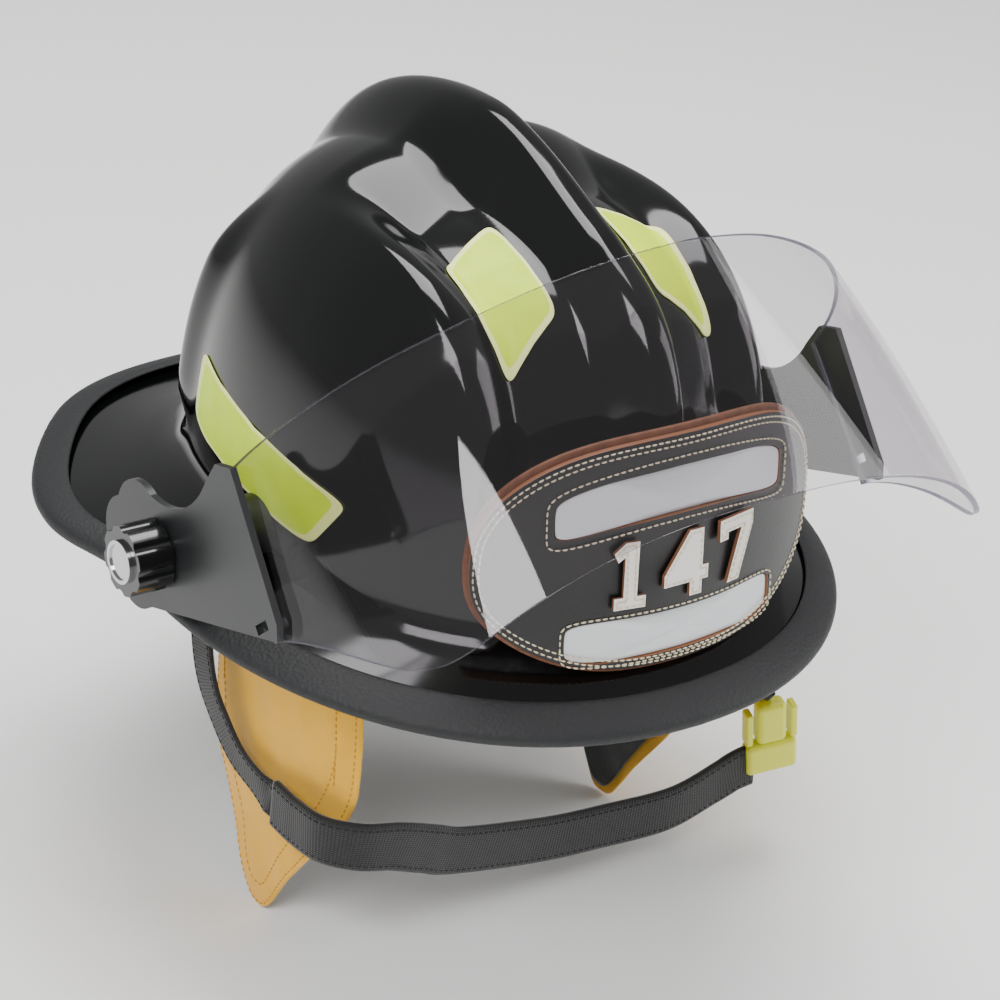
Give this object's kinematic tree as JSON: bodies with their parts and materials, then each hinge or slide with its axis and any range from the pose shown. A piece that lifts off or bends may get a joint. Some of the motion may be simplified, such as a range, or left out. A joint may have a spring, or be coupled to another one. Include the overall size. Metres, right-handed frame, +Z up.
{
  "type": "firefighter helmet",
  "caption": "Structural firefighter helmet with brimmed crested shell, raised pivoting face shield, leather front piece, ear covers, chinstrap, and head suspension.",
  "frame": {"origin": "centre of the headband, where the head holds the helmet", "axes": "+Z up, wearer faces -Y, wearer's right is -X; +Y is the helmet's length"},
  "size_m": [0.3494, 0.3914, 0.3557],
  "materials": {
    "shell_gloss": "high-gloss moulded thermoplastic, black",
    "trim_pebble": "matt pebbled moulding",
    "tape": "fluorescent lime retroreflective film",
    "leather_face": "black smooth leather, waxed",
    "leather_edge": "brown undyed leather",
    "silver_film": "silver retroreflective film",
    "numeral": "white leather",
    "holder_steel": "black powder coat",
    "screw_steel": "zinc plated",
    "liner_foam": "rigid polyurethane foam skin",
    "band_plastic": "injection-moulded nylon",
    "flannel": "black flannel",
    "webbing": "black woven webbing",
    "cover_cloth": "golden aramid twill",
    "visor_clear": "hard-coated clear polycarbonate, light smoke",
    "visor_plastic": "glass-filled nylon, satin black",
    "knob_plastic": "polished black nylon",
    "ring_metal": "polished insert",
    "buckle_lime": "lime acetal"
  },
  "bodies": {
    "helmet": {"brow_pad": "flannel", "crown_pad": "flannel", "crown_straps": "webbing", "ear_cover_left": "cover_cloth", "ear_cover_right": "cover_cloth", "ear_lining_left": "flannel", "ear_lining_right": "flannel", "edge_trim": "trim_pebble", "front_backing": "leather_edge", "front_holder": "holder_steel", "front_leather": "leather_face", "front_numerals": "numeral", "front_panel_lower": "silver_film", "front_panel_upper": "silver_film", "headband": "band_plastic", "holder_screws": "screw_steel", "impact_liner": "liner_foam", "nape_pad": "flannel", "ratchet_housing": "band_plastic", "shell": "shell_gloss", "strap_anchor_left": "holder_steel", "strap_anchor_right": "holder_steel", "suspension_clips": "band_plastic", "tape_front_left": "tape", "tape_front_right": "tape", "tape_rear_left": "tape", "tape_rear_right": "tape", "tape_side_left": "tape", "tape_side_right": "tape", "visor_mount_left": "visor_plastic", "visor_mount_right": "visor_plastic", "visor_washers_left": "band_plastic", "visor_washers_right": "band_plastic"},
    "visor": {"visor_lens": "visor_clear", "visor_plate_right": "visor_plastic", "visor_plate_left": "visor_plastic"},
    "knob_right": {"visor_knob_right": "knob_plastic", "knob_ring_right": "ring_metal"},
    "knob_left": {"visor_knob_left": "knob_plastic", "knob_ring_left": "ring_metal"},
    "ratchet_knob": {"ratchet_knob": "band_plastic"},
    "chinstrap": {"chinstrap_right": "webbing", "chinstrap_wide": "webbing", "chinstrap_left": "webbing", "buckle_body": "buckle_lime", "buckle_tongue": "buckle_lime"},
    "buckle_arm_front": {"buckle_arm_front": "buckle_lime"},
    "buckle_arm_rear": {"buckle_arm_rear": "buckle_lime"}
  },
  "joints": [
    {"name": "visor_pivot", "type": "hinge", "parent": "helmet", "child": "visor", "pos_m": [0, 0, 0.028], "axis": [-1, 0, 0], "range_deg": [-55, 35]},
    {"name": "knob_right_turn", "type": "hinge", "parent": "helmet", "child": "knob_right", "pos_m": [-0.16, 0, 0.028], "axis": [-1, 0, 0], "continuous": true},
    {"name": "knob_left_turn", "type": "hinge", "parent": "helmet", "child": "knob_left", "pos_m": [0.16, 0, 0.028], "axis": [1, 0, 0], "continuous": true},
    {"name": "ratchet_turn", "type": "hinge", "parent": "helmet", "child": "ratchet_knob", "pos_m": [0, 0.115, -0.006], "axis": [0, 1, 0], "continuous": true},
    {"name": "chinstrap_swing", "type": "hinge", "parent": "helmet", "child": "chinstrap", "pos_m": [0, 0.045, 0.01], "axis": [-1, 0, 0], "range_deg": [0, 25]},
    {"name": "arm_front_press", "type": "slide", "parent": "chinstrap", "child": "buckle_arm_front", "axis": [-0.931, 0.3158, -0.1834], "range_m": [0, 0.0015], "stiffness_N_per_m": 300},
    {"name": "arm_rear_press", "type": "slide", "parent": "chinstrap", "child": "buckle_arm_rear", "axis": [0.931, -0.3158, 0.1834], "range_m": [0, 0.0015], "stiffness_N_per_m": 300}
  ]
}
